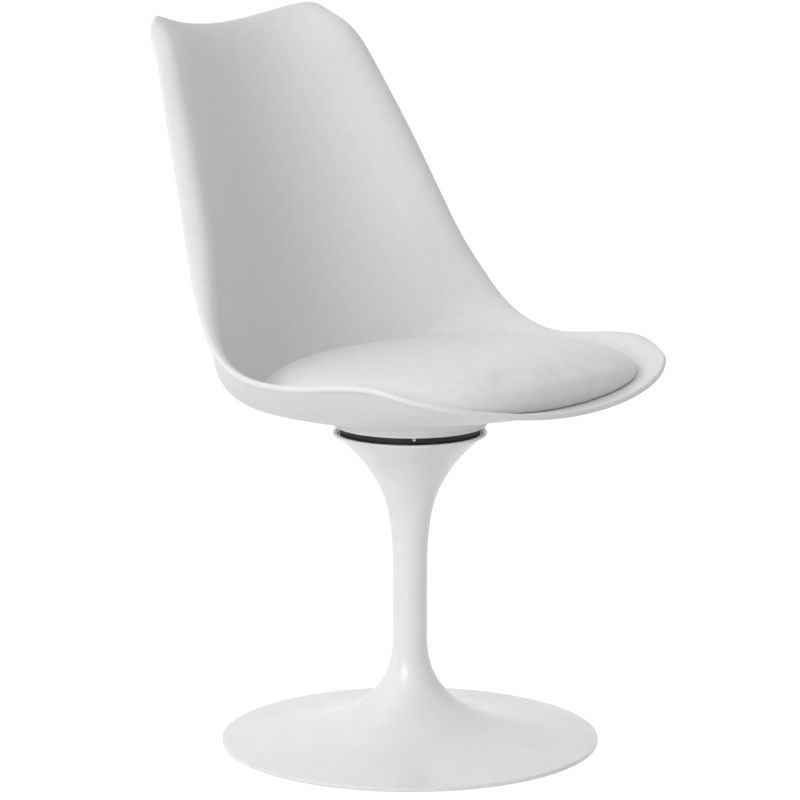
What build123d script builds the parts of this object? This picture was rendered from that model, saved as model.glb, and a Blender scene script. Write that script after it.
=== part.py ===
from build123d import *
import math
import os

# Swivel dining chair: a one-piece moulded shell with a seat cushion, which turns on a cast
# trumpet pedestal. Lengths are in millimetres. +Z is up, the chair faces -Y, and the origin
# lies on the floor, on the swivel axis.

os.makedirs("parts", exist_ok=True)

# Pedestal
foot_radius = 215
foot_edge = 5.5  # height of the foot's outer edge above the floor
foot_lift = 0.8  # the metal stands this far off the floor, on its ring
foot_shoulder = (115, 18.5)  # radius and height where the foot turns from disc to flare
foot_waist = (46, 56.5)  # radius and height of the steep part of the flare
foot_flare_top = 125
stem_radius = 19.3
casting_wall = 5
lip_height = 361
lip_radius = 87.5
lip_edge = 3.4
lip_root = (73, 5.5)  # radius and drop below the lip's underside where the bell meets it
lip_step_radius = 81
lip_step_depth = 2.5
bell_depth = 17  # from the lip's top down to the seat of the swivel
bell_floor_thickness = 8
bell_floor_radius = 60
bell_mouth_radius = 71
bell_waist = (47.4, 25)  # radius, and drop below the bell's floor
bell_neck = (30, 57.5)
bell_throat = (21.9, 97)
bell_flare_drop = 144  # the flare starts this far below the bell's floor

# Ring under the foot
ring_outer_radius = 205
ring_width = 15
ring_height = 3
ring_gap = 0.2

# Swivel unit
base_plate_radius = 58
base_plate_thickness = 4
base_hub_radius = 16
base_hub_height = 8
ball_circle_radius = 36
ball_radius = 4
ball_count = 18
ball_gap = 0.3
race_width = 14
race_thickness = 5
race_opening = 6  # clear height between the two races
cage_width = 9
cage_thickness = 3
cage_pocket_gap = 0.2
top_plate_radius = 76.3
top_plate_thickness = 5
skirt_wall = 3
skirt_fit = 0.2
skirt_drop = 10
skirt_play = 0.3  # under the collar
skirt_screw_radius = 2
skirt_screw_count = 3
skirt_screw_angle = 224

# Spindle
spindle_radius = 8
spindle_thread_radius = 6
spindle_head_radius = 13
spindle_head_height = 4
spindle_pocket_gap = 3
spindle_play = 0.3  # end play of the turning unit
running_gap = 0.05
bush_wall = 2.5
bush_flange_radius = 13
bush_flange_thickness = 1.5
spindle_washer_radius = 14
spindle_washer_thickness = 2.4
spindle_nut_flats = 18
spindle_nut_height = 10
spindle_tail = 2

# M6 fasteners
screw_radius = 3
screw_gap = 0.1
clearance_gap = 0.3
screw_count = 4
base_screw_circle_radius = 50
base_screw_head_radius = 5.8
base_screw_length = 12
access_hole_radius = 6.5
seat_bolt_circle_radius = 60
seat_bolt_head_radius = 5.25
seat_bolt_head_height = 3.3
seat_bolt_washer_radius = 9
seat_bolt_washer_thickness = 1.6
seat_bolt_socket = 4
socket_depth = 2
weld_nut_flats = 10
weld_nut_height = 5

# Seat shell
collar_radius = 87
collar_lip = 2
collar_neck_radius = 85.3
collar_neck_height = 3.5
collar_flare_radius = 103
collar_height = 12
shell_slant = 45  # the rim is laid out on a plane with this slope, rising to the back
shell_wall = 7
rim_round = 3
bolt_seat_height = 11  # thickness of the moulding under the seat bolts

# Each row is a cross-section of the shell's upper face, from the front edge to the top:
# distance behind the axis, height above the collar, half width, rise of the sides,
# sharpness of the sides (2 is a plain curve), width of the rolled edge and the slope it
# ends with. At the back the edges roll over and fall behind, so that slope is negative.
# The first row and the last row lie outside the rim and only guide the sheet.
shell_sections = [
    (-280, 46, 180, 31, 2.0, 20, 0),
    (-262, 50, 185, 35, 2.0, 20, 0),
    (-246, 49, 190, 38, 2.0, 20, 0),
    (-226, 46, 196.5, 43.5, 2.1, 20, 0),
    (-198, 40, 206, 55, 2.4, 20, 0.05),
    (-150, 31, 213, 68, 2.8, 16, 0.1),
    (-90, 22, 222.5, 93.5, 3.05, 14, 0.1),
    (-20, 15.5, 230, 101, 3.4, 12, 0.1),
    (50, 16, 240.5, 90.5, 3.55, 12, 0.05),
    (105, 19, 249, 98.5, 3.5, 18, -0.1),
    (152, 28, 247.5, 116.5, 3.3, 26, -0.45),
    (187, 47, 241, 131.5, 2.7, 36, -0.85),
    (207, 77, 232, 132, 2.6, 44, -1.15),
    (228, 131, 219, 127.5, 2.5, 50, -1.3),
    (243, 191, 207.5, 116, 2.4, 50, -1.3),
    (256, 256, 194.5, 99.5, 2.3, 48, -1.3),
    (268, 321, 181, 81.5, 2.2, 44, -1.2),
    (281, 381, 165, 60.5, 2.1, 38, -1.1),
    (292.5, 423.5, 153, 32, 2.0, 30, -1),
    (310, 449, 149, 29, 2.0, 26, -1),
]
# Where each section is sampled, as shares of its half width, from the edge to the middle.
section_shares = [1.1, 1.04, 0.98, 0.93, 0.87, 0.79, 0.67, 0.5, 0.33, 0.16]

# The rim from the middle of the top edge to the middle of the front edge, seen square to
# the slanted plane: half width, and distance up the slope from the axis.
rim_outline = [
    (0, 521),
    (72, 520),
    (141, 503),
    (175, 437),
    (202.5, 329),
    (229, 216),
    (248, 127),
    (246.5, 65),
    (234, 21),
    (232, -23),
    (222.5, -65),
    (174.5, -109),
    (93.5, -137.5),
    (0, -145.5),
]
rim_cut_low = -160
rim_cut_high = 320

# Cushion
cushion_half_width = 219
cushion_middle = -51  # position of the widest line along Y
cushion_back_length = 190
cushion_front_length = 182
cushion_back_power = 2.15  # 2 is an ellipse, more is squarer
cushion_front_power = 2.8
cushion_tilt = -3.4  # the front lies higher
cushion_girth_height = 50.5  # of the widest line, above the collar at the axis
cushion_base_height = 24.5  # of the flat underside, above the collar
# Drop below or rise above the widest line, and how far the outline is drawn in there.
cushion_levels = [(-44, 75), (-30, 27), (-15, 6), (0, 0), (12, 5), (22, 19), (28.5, 46), (33, 95)]
cover_thickness = 1.5
board_thickness = 5
board_half_width = 112
board_half_length = 92
board_middle = -8
pad_width = 25
pad_length = 60
pad_gap = 1  # from the washers of the seat bolts
hook_pad_depth = 6.5  # before the shell cuts it to shape
loop_pad_thickness = 2
staple_count = 24
staple_inset = 10
staple_crown = 10
staple_leg = 5
staple_wire = 0.8

# Heights that follow from the sizes above
bell_floor = lip_height - bell_depth
lower_race_base = bell_floor + base_plate_thickness
lower_race_top = lower_race_base + race_thickness
ball_height = lower_race_top + race_opening / 2
upper_race_base = lower_race_top + race_opening
top_plate_base = upper_race_base + race_thickness
collar_base = top_plate_base + top_plate_thickness
cushion_base = collar_base + cushion_base_height
board_base = cushion_base + cover_thickness
bore_radius = stem_radius - casting_wall
bolt_seat = collar_base + bolt_seat_height
slant_cos = math.cos(math.radians(shell_slant))
slant_sin = math.sin(math.radians(shell_slant))


# Pedestal: one hollow casting, open under the foot and through the stem
lip_under = lip_height - lip_edge
wall_slope = casting_wall * math.sin(math.radians(45))
with BuildPart() as pedestal:
    with BuildSketch(Plane.XZ):
        with BuildLine():
            foot_curve = Spline(
                (foot_radius, foot_edge),
                foot_shoulder,
                foot_waist,
                (stem_radius, foot_flare_top),
                tangents=[(-1, 0.06), (0, 1)],
            )
            stem_line = Line(foot_curve @ 1, (stem_radius, bell_floor - bell_flare_drop))
            bell_curve = Spline(
                stem_line @ 1,
                (bell_throat[0], bell_floor - bell_throat[1]),
                (bell_neck[0], bell_floor - bell_neck[1]),
                (bell_waist[0], bell_floor - bell_waist[1]),
                (lip_root[0], lip_under - lip_root[1]),
                tangents=[(0, 1), (1, 1)],
            )
            lip_line = Line(bell_curve @ 1, (lip_radius - lip_edge / 2, lip_under))
            lip_round = ThreePointArc(
                lip_line @ 1,
                (lip_radius, lip_under + lip_edge / 2),
                (lip_radius - lip_edge / 2, lip_height),
            )
            Polyline(
                lip_round @ 1,
                (lip_step_radius, lip_height),
                (lip_step_radius, lip_height - lip_step_depth),
                (bell_mouth_radius, lip_height - lip_step_depth),
                (bell_floor_radius, bell_floor),
                (0, bell_floor),
                (0, foot_lift),
                (foot_radius, foot_lift),
                (foot_radius, foot_edge),
            )
        make_face()
    revolve(axis=Axis.Z)
    with BuildSketch(Plane.XZ):
        with BuildLine():
            under_curve = Spline(
                (ring_outer_radius - ring_width - ring_gap, ring_height),
                (foot_shoulder[0], foot_shoulder[1] - casting_wall),
                (foot_waist[0] - wall_slope, foot_waist[1] - wall_slope),
                (bore_radius, foot_flare_top),
                tangents=[(-1, 0.1), (0, 1)],
            )
            bore_line = Line(under_curve @ 1, (bore_radius, bell_floor - bell_flare_drop))
            inner_bell = Spline(
                bore_line @ 1,
                (bell_neck[0] - casting_wall, bell_floor - bell_neck[1]),
                (bell_waist[0] - casting_wall, bell_floor - bell_waist[1] + casting_wall / 2),
                (bell_waist[0], bell_floor - bell_floor_thickness),
                tangents=[(0, 1), (1, 1)],
            )
            Polyline(
                inner_bell @ 1,
                (0, bell_floor - bell_floor_thickness),
                (0, 0),
                (ring_outer_radius + ring_gap, 0),
                (ring_outer_radius + ring_gap, ring_height),
                (ring_outer_radius - ring_width - ring_gap, ring_height),
            )
        make_face()
    revolve(axis=Axis.Z, mode=Mode.SUBTRACT)
    with BuildSketch(Plane.XY.offset(bell_floor)):
        Circle(spindle_washer_radius + spindle_pocket_gap)
        with PolarLocations(base_screw_circle_radius, screw_count, start_angle=45):
            Circle(screw_radius + screw_gap)
    extrude(amount=-bell_floor_thickness, mode=Mode.SUBTRACT)
pedestal.part.label = "pedestal"
export_step(pedestal.part, "parts/pedestal.step")

# Protector ring pressed into the groove under the foot
with BuildPart() as foot_ring:
    with BuildSketch():
        Circle(ring_outer_radius)
        Circle(ring_outer_radius - ring_width, mode=Mode.SUBTRACT)
    extrude(amount=ring_height)
    fillet(foot_ring.edges().group_by(Axis.Z)[0], ring_gap)
foot_ring.part.label = "foot_ring"
export_step(foot_ring.part, "parts/foot_ring.step")

# Lower plate of the swivel, with a hub for the bush
with BuildPart() as base_plate:
    with BuildSketch(Plane.XY.offset(bell_floor)):
        Circle(base_plate_radius)
    extrude(amount=base_plate_thickness)
    with BuildSketch(Plane.XY.offset(bell_floor)):
        Circle(base_hub_radius)
    extrude(amount=base_hub_height)
    with BuildSketch(Plane.XY.offset(bell_floor)):
        Circle(spindle_radius + running_gap + bush_wall)
    extrude(amount=base_hub_height, mode=Mode.SUBTRACT)
    with Locations(Plane.XY.offset(lower_race_base)):
        with PolarLocations(base_screw_circle_radius, screw_count, start_angle=45):
            CounterSinkHole(screw_radius + clearance_gap, base_screw_head_radius + clearance_gap)
base_plate.part.label = "base_plate"
export_step(base_plate.part, "parts/base_plate.step")

# Countersunk screws that hold the base plate in the bell
screw_cone = base_screw_head_radius - screw_radius
with BuildPart() as base_screws:
    with BuildSketch(Plane.XZ):
        with BuildLine():
            Polyline(
                (0, lower_race_base),
                (base_screw_head_radius, lower_race_base),
                (screw_radius, lower_race_base - screw_cone),
                (screw_radius, lower_race_base - base_screw_length),
                (0, lower_race_base - base_screw_length),
                close=True,
            )
        make_face()
    revolve(axis=Axis.Z)
    with BuildSketch(Plane.XY.offset(lower_race_base)):
        RegularPolygon(seat_bolt_socket / 2, 6, major_radius=False)
    extrude(amount=-socket_depth, mode=Mode.SUBTRACT)
    one_base_screw = base_screws.part
with BuildPart() as base_screw_set:
    with PolarLocations(base_screw_circle_radius, screw_count, start_angle=45):
        add(one_base_screw)
base_screw_set.part.label = "base_screws"
export_step(base_screw_set.part, "parts/base_screws.step")

# Races of the ball bearing, each with a round groove
race_inner_radius = ball_circle_radius - race_width / 2
race_outer_radius = ball_circle_radius + race_width / 2
for race_name, race_base in [("lower_race", lower_race_base), ("upper_race", upper_race_base)]:
    with BuildPart() as race:
        with BuildSketch(Plane.XY.offset(race_base)):
            Circle(race_outer_radius)
            Circle(race_inner_radius, mode=Mode.SUBTRACT)
        extrude(amount=race_thickness)
        with Locations((0, 0, ball_height)):
            Torus(ball_circle_radius, ball_radius + ball_gap, mode=Mode.SUBTRACT)
    race.part.label = race_name
    export_step(race.part, "parts/" + race_name + ".step")

# Balls, and the cage that keeps them apart
with BuildPart() as bearing_balls:
    with Locations((0, 0, ball_height)):
        with PolarLocations(ball_circle_radius, ball_count):
            Sphere(ball_radius)
bearing_balls.part.label = "bearing_balls"
export_step(bearing_balls.part, "parts/bearing_balls.step")

with BuildPart() as ball_cage:
    with BuildSketch(Plane.XY.offset(ball_height - cage_thickness / 2)):
        Circle(ball_circle_radius + cage_width / 2)
        Circle(ball_circle_radius - cage_width / 2, mode=Mode.SUBTRACT)
        with PolarLocations(ball_circle_radius, ball_count):
            Circle(ball_radius + cage_pocket_gap, mode=Mode.SUBTRACT)
    extrude(amount=cage_thickness)
ball_cage.part.label = "ball_cage"
export_step(ball_cage.part, "parts/ball_cage.step")

# Upper plate of the swivel, with holes for the seat bolts and to reach the base screws
with BuildPart() as top_plate:
    with BuildSketch(Plane.XY.offset(top_plate_base)):
        Circle(top_plate_radius)
        Circle(spindle_radius + screw_gap, mode=Mode.SUBTRACT)
        with PolarLocations(base_screw_circle_radius, screw_count, start_angle=45):
            Circle(access_hole_radius, mode=Mode.SUBTRACT)
        with PolarLocations(seat_bolt_circle_radius, screw_count):
            Circle(screw_radius + clearance_gap, mode=Mode.SUBTRACT)
    extrude(amount=top_plate_thickness)
top_plate.part.label = "top_plate"
export_step(top_plate.part, "parts/top_plate.step")

# Ring that hides the gap between the collar and the lip, and its grub screws
skirt_inner_radius = top_plate_radius + skirt_fit
skirt_outer_radius = skirt_inner_radius + skirt_wall
skirt_top = collar_base - skirt_play
skirt_screw_height = collar_base - top_plate_thickness / 2
with BuildPart() as skirt_ring:
    with BuildSketch(Plane.XY.offset(skirt_top)):
        Circle(skirt_outer_radius)
        Circle(skirt_inner_radius, mode=Mode.SUBTRACT)
    extrude(amount=-(skirt_drop - skirt_play))
    with Locations(Plane.XY.offset(skirt_screw_height)):
        with PolarLocations(skirt_inner_radius, skirt_screw_count, start_angle=skirt_screw_angle):
            Cylinder(
                skirt_screw_radius + screw_gap,
                4 * skirt_wall,
                rotation=(0, 90, 0),
                mode=Mode.SUBTRACT,
            )
skirt_ring.part.label = "skirt_ring"
export_step(skirt_ring.part, "parts/skirt_ring.step")

with BuildPart() as skirt_screws:
    with Locations(Plane.XY.offset(skirt_screw_height)):
        with PolarLocations(top_plate_radius, skirt_screw_count, start_angle=skirt_screw_angle):
            Cylinder(
                skirt_screw_radius,
                skirt_wall + skirt_fit,
                rotation=(0, 90, 0),
                align=(Align.CENTER, Align.CENTER, Align.MIN),
            )
skirt_screws.part.label = "skirt_screws"
export_step(skirt_screws.part, "parts/skirt_screws.step")

# Weld nuts under the top plate
with BuildPart() as weld_nuts:
    with BuildSketch(Plane.XY.offset(top_plate_base)):
        with PolarLocations(seat_bolt_circle_radius, screw_count):
            RegularPolygon(weld_nut_flats / 2, 6, major_radius=False)
            Circle(screw_radius + screw_gap, mode=Mode.SUBTRACT)
    extrude(amount=-weld_nut_height)
weld_nuts.part.label = "weld_nuts"
export_step(weld_nuts.part, "parts/weld_nuts.step")

# Spindle: a shoulder bolt that turns with the top plate, in the bush of the base plate
spindle_shoulder = bell_floor - spindle_play
spindle_end = spindle_shoulder - spindle_washer_thickness - spindle_nut_height - spindle_tail
with BuildPart() as spindle:
    with BuildSketch(Plane.XY.offset(collar_base)):
        Circle(spindle_head_radius)
    extrude(amount=spindle_head_height)
    with BuildSketch(Plane.XY.offset(collar_base)):
        Circle(spindle_radius)
    extrude(amount=-(collar_base - spindle_shoulder))
    with BuildSketch(Plane.XY.offset(spindle_shoulder)):
        Circle(spindle_thread_radius)
    extrude(amount=-(spindle_shoulder - spindle_end))
    chamfer(spindle.edges().group_by(Axis.Z)[0], screw_gap * 5)
spindle.part.label = "spindle"
export_step(spindle.part, "parts/spindle.step")

with BuildPart() as spindle_bush:
    with BuildSketch(Plane.XY.offset(bell_floor)):
        Circle(spindle_radius + running_gap + bush_wall)
    extrude(amount=base_hub_height)
    with BuildSketch(Plane.XY.offset(bell_floor + base_hub_height)):
        Circle(bush_flange_radius)
    extrude(amount=bush_flange_thickness)
    with BuildSketch(Plane.XY.offset(bell_floor)):
        Circle(spindle_radius + running_gap)
    extrude(amount=base_hub_height + bush_flange_thickness, mode=Mode.SUBTRACT)
spindle_bush.part.label = "spindle_bush"
export_step(spindle_bush.part, "parts/spindle_bush.step")

with BuildPart() as spindle_washer:
    with BuildSketch(Plane.XY.offset(spindle_shoulder)):
        Circle(spindle_washer_radius)
        Circle(spindle_thread_radius + screw_gap, mode=Mode.SUBTRACT)
    extrude(amount=-spindle_washer_thickness)
spindle_washer.part.label = "spindle_washer"
export_step(spindle_washer.part, "parts/spindle_washer.step")

with BuildPart() as spindle_nut:
    with BuildSketch(Plane.XY.offset(spindle_shoulder - spindle_washer_thickness)):
        RegularPolygon(spindle_nut_flats / 2, 6, major_radius=False)
        Circle(spindle_thread_radius + screw_gap, mode=Mode.SUBTRACT)
    extrude(amount=-spindle_nut_height)
spindle_nut.part.label = "spindle_nut"
export_step(spindle_nut.part, "parts/spindle_nut.step")


# Seat shell: a sheet through the cross-sections, trimmed to the rim and thickened downwards
def section_rise(share, half_width, rise, sharpness, roll, edge_slope):
    """Height of a section above its middle, at a share of its half width."""
    wall_share = 1 - roll / half_width
    end_slope = edge_slope * half_width
    half_roll = (1 - wall_share) / 2
    start_factor = sharpness * wall_share ** (sharpness - 1)
    scale = (rise - end_slope * half_roll) / (wall_share**sharpness + start_factor * half_roll)
    share = abs(share)
    if share <= wall_share:
        return scale * share**sharpness
    start_slope = scale * start_factor
    into_roll = min(share, 1) - wall_share
    flattening = (start_slope - end_slope) * into_roll**2 / (4 * half_roll)
    beyond = end_slope * max(share - 1, 0)
    return scale * wall_share**sharpness + start_slope * into_roll - flattening + beyond


sheet_shares = [-share for share in section_shares] + [0] + section_shares[::-1]
sheet_points = []
for behind, above, half_width, rise, sharpness, roll, edge_slope in shell_sections:
    sheet_row = []
    for share in sheet_shares:
        lift = section_rise(share, half_width, rise, sharpness, roll, edge_slope)
        sheet_row.append(
            (share * half_width, behind - lift * slant_sin, collar_base + above + lift * slant_cos)
        )
    sheet_points.append(sheet_row)
sheet = Face.make_surface_from_array_of_points(sheet_points, smoothing=(1, 1, 1), min_deg=3, max_deg=5)

slant_plane = Plane(
    origin=(0, 0, collar_base), x_dir=(1, 0, 0), z_dir=(0, -slant_sin, slant_cos)
)
with BuildPart() as rim_cutter:
    with BuildSketch(slant_plane.offset(rim_cut_low)):
        with BuildLine():
            Spline(*rim_outline, tangents=[(1, 0), (-1, 0)])
            mirror(about=Plane.YZ)
        make_face()
    extrude(amount=rim_cut_high - rim_cut_low)
trimmed_sheet = (sheet & rim_cutter.part).faces()[0]

with BuildPart() as seat_shell:
    thicken(trimmed_sheet, amount=shell_wall)
    broad_faces = seat_shell.faces().sort_by(SortBy.AREA)[-2:]
    fillet(broad_faces.edges(), min(rim_round, 0.45 * shell_wall))
    with BuildSketch(Plane.XZ):
        with BuildLine():
            collar_edge = Polyline(
                (0, collar_base + collar_height),
                (0, collar_base),
                (collar_radius, collar_base),
                (collar_radius, collar_base + collar_lip),
                (collar_neck_radius, collar_base + collar_neck_height),
            )
            neck_curve = Spline(
                collar_edge @ 1,
                (collar_flare_radius, collar_base + collar_height),
                tangents=[(0, 1), (1, 0.3)],
            )
            Line(neck_curve @ 1, collar_edge @ 0)
        make_face()
    revolve(axis=Axis.Z)
    with BuildSketch(Plane.XY.offset(collar_base)):
        Circle(spindle_head_radius + spindle_pocket_gap)
    extrude(amount=spindle_head_height + spindle_pocket_gap / 2, mode=Mode.SUBTRACT)
    with BuildSketch(Plane.XY.offset(collar_base)):
        with PolarLocations(seat_bolt_circle_radius, screw_count):
            Circle(screw_radius + clearance_gap)
    extrude(amount=bolt_seat_height, mode=Mode.SUBTRACT)
    with BuildSketch(Plane.XY.offset(bolt_seat)):
        with PolarLocations(seat_bolt_circle_radius, screw_count):
            Circle(seat_bolt_washer_radius + clearance_gap)
    extrude(amount=collar_height, mode=Mode.SUBTRACT)
seat_shell.part.label = "seat_shell"
export_step(seat_shell.part, "parts/seat_shell.step")

# Seat bolts and washers, reached from above when the cushion is off
bolt_head_base = bolt_seat + seat_bolt_washer_thickness
with BuildPart() as seat_bolts:
    with BuildSketch(Plane.XY.offset(bolt_head_base)):
        with PolarLocations(seat_bolt_circle_radius, screw_count):
            Circle(seat_bolt_head_radius)
    extrude(amount=seat_bolt_head_height)
    fillet(seat_bolts.edges().group_by(Axis.Z)[-1], seat_bolt_head_height / 2)
    with BuildSketch(Plane.XY.offset(bolt_head_base + seat_bolt_head_height)):
        with PolarLocations(seat_bolt_circle_radius, screw_count):
            RegularPolygon(seat_bolt_socket / 2, 6, major_radius=False)
    extrude(amount=-socket_depth, mode=Mode.SUBTRACT)
    with BuildSketch(Plane.XY.offset(bolt_head_base)):
        with PolarLocations(seat_bolt_circle_radius, screw_count):
            Circle(screw_radius)
    extrude(amount=-(bolt_head_base - top_plate_base + weld_nut_height))
seat_bolts.part.label = "seat_bolts"
export_step(seat_bolts.part, "parts/seat_bolts.step")

with BuildPart() as seat_bolt_washers:
    with BuildSketch(Plane.XY.offset(bolt_seat)):
        with PolarLocations(seat_bolt_circle_radius, screw_count):
            Circle(seat_bolt_washer_radius)
            Circle(screw_radius + clearance_gap, mode=Mode.SUBTRACT)
    extrude(amount=seat_bolt_washer_thickness)
seat_bolt_washers.part.label = "seat_bolt_washers"
export_step(seat_bolt_washers.part, "parts/seat_bolt_washers.step")


# Cushion: crowned, with drawn-in sides, cut to lie on the shell
def cushion_edge_point(angle, inset):
    """A point of the cushion's outline, at an angle from the sitter's left."""
    front = math.sin(angle) < 0
    length = (cushion_front_length if front else cushion_back_length) - inset
    power = 2 / (cushion_front_power if front else cushion_back_power)
    across = math.copysign(abs(math.cos(angle)) ** power, math.cos(angle))
    along = math.copysign(abs(math.sin(angle)) ** power, math.sin(angle))
    return ((cushion_half_width - inset) * across, cushion_middle + length * along)


cushion_plane = Plane.XY.rotated((cushion_tilt, 0, 0))
edge_angles = [math.radians(degrees) for degrees in range(0, 360, 15)]
sheet_depth = Vector(0, slant_sin, -slant_cos)


def make_cushion(skin):
    """The cushion's solid, drawn in by a skin on every side."""
    with BuildPart() as under_sheet:
        extrude(sheet.moved(Location(sheet_depth * -skin)), amount=rim_cut_high, dir=sheet_depth)
    with BuildPart() as body:
        for level, inset in cushion_levels:
            height = level - math.copysign(skin, level) * (level != 0)
            origin = (0, 0, collar_base + cushion_girth_height + height)
            with BuildSketch(Plane(origin, x_dir=cushion_plane.x_dir, z_dir=cushion_plane.z_dir)):
                with BuildLine():
                    Spline(*[cushion_edge_point(a, inset + skin) for a in edge_angles], periodic=True)
                make_face()
        loft(ruled=True)
        add(under_sheet.part, mode=Mode.SUBTRACT)
        split(bisect_by=Plane.XY.offset(cushion_base + skin), keep=Keep.TOP)
    return body.part


with BuildPart() as cushion_board:
    with BuildSketch(Plane.XY.offset(board_base)):
        with Locations((0, board_middle)):
            Ellipse(board_half_width, board_half_length)
    extrude(amount=board_thickness)
cushion_board.part.label = "cushion_board"
export_step(cushion_board.part, "parts/cushion_board.step")

cushion_inside = make_cushion(cover_thickness)
with BuildPart() as cushion_foam:
    add(cushion_inside)
    add(cushion_board.part, mode=Mode.SUBTRACT)
cushion_foam.part.label = "cushion_foam"
export_step(cushion_foam.part, "parts/cushion_foam.step")

with BuildPart() as cushion_cover:
    add(make_cushion(0))
    add(cushion_inside, mode=Mode.SUBTRACT)
cushion_cover.part.label = "cushion_cover"
export_step(cushion_cover.part, "parts/cushion_cover.step")

# Hook pads glued in the pan, and the loop pads on the cushion that grip them
pad_top = cushion_base - loop_pad_thickness
pad_offset = seat_bolt_circle_radius + seat_bolt_washer_radius + pad_gap + pad_width / 2
pad_places = [(-pad_offset, board_middle), (pad_offset, board_middle)]
with BuildPart() as hook_pads:
    with BuildSketch(Plane.XY.offset(pad_top)):
        with Locations(*pad_places):
            Rectangle(pad_width, pad_length)
    extrude(amount=-hook_pad_depth)
    add(seat_shell.part, mode=Mode.SUBTRACT)
hook_pads.part.label = "hook_pads"
export_step(hook_pads.part, "parts/hook_pads.step")

with BuildPart() as loop_pads:
    with BuildSketch(Plane.XY.offset(pad_top)):
        with Locations(*pad_places):
            Rectangle(pad_width, pad_length)
    extrude(amount=loop_pad_thickness)
loop_pads.part.label = "loop_pads"
export_step(loop_pads.part, "parts/loop_pads.step")

# Staples that hold the cover to the underside of the board
with BuildPart() as cover_staples:
    for index in range(staple_count):
        turn = 360 * (index + 0.5) / staple_count
        across = (board_half_width - staple_inset) * math.cos(math.radians(turn))
        along = board_middle + (board_half_length - staple_inset) * math.sin(math.radians(turn))
        with Locations(Location((across, along, cushion_base), (0, 0, turn))):
            Box(
                staple_wire,
                staple_crown,
                staple_leg,
                align=(Align.CENTER, Align.CENTER, Align.MIN),
            )
            with Locations((0, 0, staple_wire)):
                Box(
                    staple_wire,
                    staple_crown - 2 * staple_wire,
                    staple_leg,
                    align=(Align.CENTER, Align.CENTER, Align.MIN),
                    mode=Mode.SUBTRACT,
                )
cover_staples.part.label = "cover_staples"
export_step(cover_staples.part, "parts/cover_staples.step")
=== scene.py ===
import math
import bpy
import numpy as np
from mathutils import Matrix, Vector


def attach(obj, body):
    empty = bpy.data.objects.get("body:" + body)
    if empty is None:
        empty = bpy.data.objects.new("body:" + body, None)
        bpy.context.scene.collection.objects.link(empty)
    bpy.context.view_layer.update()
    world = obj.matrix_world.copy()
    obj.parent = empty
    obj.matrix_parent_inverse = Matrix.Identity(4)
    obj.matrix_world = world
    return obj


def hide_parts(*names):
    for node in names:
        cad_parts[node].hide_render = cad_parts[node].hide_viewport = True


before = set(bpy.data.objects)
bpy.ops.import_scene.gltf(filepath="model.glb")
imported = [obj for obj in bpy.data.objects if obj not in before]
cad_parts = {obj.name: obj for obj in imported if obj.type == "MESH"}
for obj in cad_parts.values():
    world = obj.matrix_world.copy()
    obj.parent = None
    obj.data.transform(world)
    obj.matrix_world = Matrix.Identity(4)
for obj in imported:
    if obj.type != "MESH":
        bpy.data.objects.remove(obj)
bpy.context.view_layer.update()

# White swivel dining chair. Metres, +Z up, the chair faces -Y, floor at zero.
scene = bpy.context.scene
print("frame loaded:", len(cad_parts), "nodes")


# ---- small helpers used by every piece
def linearColour(code):
    # sRGB hex to the linear values that the shaders take
    levels = [int(code[i : i + 2], 16) / 255 for i in (1, 3, 5)]
    return [v / 12.92 if v <= 0.04045 else ((v + 0.055) / 1.055) ** 2.4 for v in levels] + [1]


def addNode(tree, kind, inputs=None, **settings):
    # settings are the node's own options; inputs are values, or other nodes' outputs to link
    node = tree.nodes.new(kind)
    for name, value in settings.items():
        setattr(node, name, value)
    for name, value in (inputs or {}).items():
        if isinstance(value, bpy.types.NodeSocket):
            tree.links.new(value, node.inputs[name])
        else:
            node.inputs[name].default_value = value
    return node


def mathNode(tree, operation, *values):
    return addNode(
        tree, "ShaderNodeMath", dict(enumerate(values)), operation=operation
    ).outputs[0]


def perMetre(millimetres):
    # texture scale that gives a pattern of that size
    return 1000 / millimetres


def newMesh(name, points, faces, smoothAngle=40):
    mesh = bpy.data.meshes.new(name)
    mesh.from_pydata([tuple(p) for p in points], [], faces)
    mesh.validate()
    mesh.shade_smooth()
    mesh.set_sharp_from_angle(angle=math.radians(smoothAngle))
    piece = bpy.data.objects.new(name, mesh)
    scene.collection.objects.link(piece)
    return piece


def splineSlopes(t, values, first, last):
    # slopes of a cubic that passes every value with an even bend, with the end slopes given
    count = len(t)
    matrix, target = np.zeros((count, count)), np.zeros(values.shape)
    matrix[0, 0] = matrix[-1, -1] = 1
    target[0], target[-1] = first, last
    for i in range(1, count - 1):
        before, after = t[i] - t[i - 1], t[i + 1] - t[i]
        matrix[i, i - 1 : i + 2] = after, 2 * (before + after), before
        rise = (values[i + 1] - values[i]) / after * before
        target[i] = 3 * (rise + (values[i] - values[i - 1]) / before * after)
    return np.linalg.solve(matrix, target)


def splineAt(t, values, slopes, at):
    i = np.clip(np.searchsorted(t, at, side="right") - 1, 0, len(t) - 2)
    width = t[i + 1] - t[i]
    u = (at - t[i]) / width
    if values.ndim > 1:
        width, u = width[:, None], u[:, None]
    return (
        values[i] * (1 + 2 * u) * (1 - u) ** 2
        + values[i + 1] * u * u * (3 - 2 * u)
        + slopes[i] * width * u * (1 - u) ** 2
        - slopes[i + 1] * width * u * u * (1 - u)
    )


def curveThrough(points, startWay, endWay, spacing):
    # evenly spaced points of a smooth curve through the given ones
    points = np.array(points, float)
    t = np.concatenate([[0], np.cumsum(np.linalg.norm(np.diff(points, axis=0), axis=1))])
    ways = [np.array(way, float) / np.linalg.norm(way) for way in (startWay, endWay)]
    slopes = splineSlopes(t, points, ways[0], ways[1])
    return splineAt(t, points, slopes, np.linspace(0, t[-1], max(2, round(t[-1] / spacing) + 1)))


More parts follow.
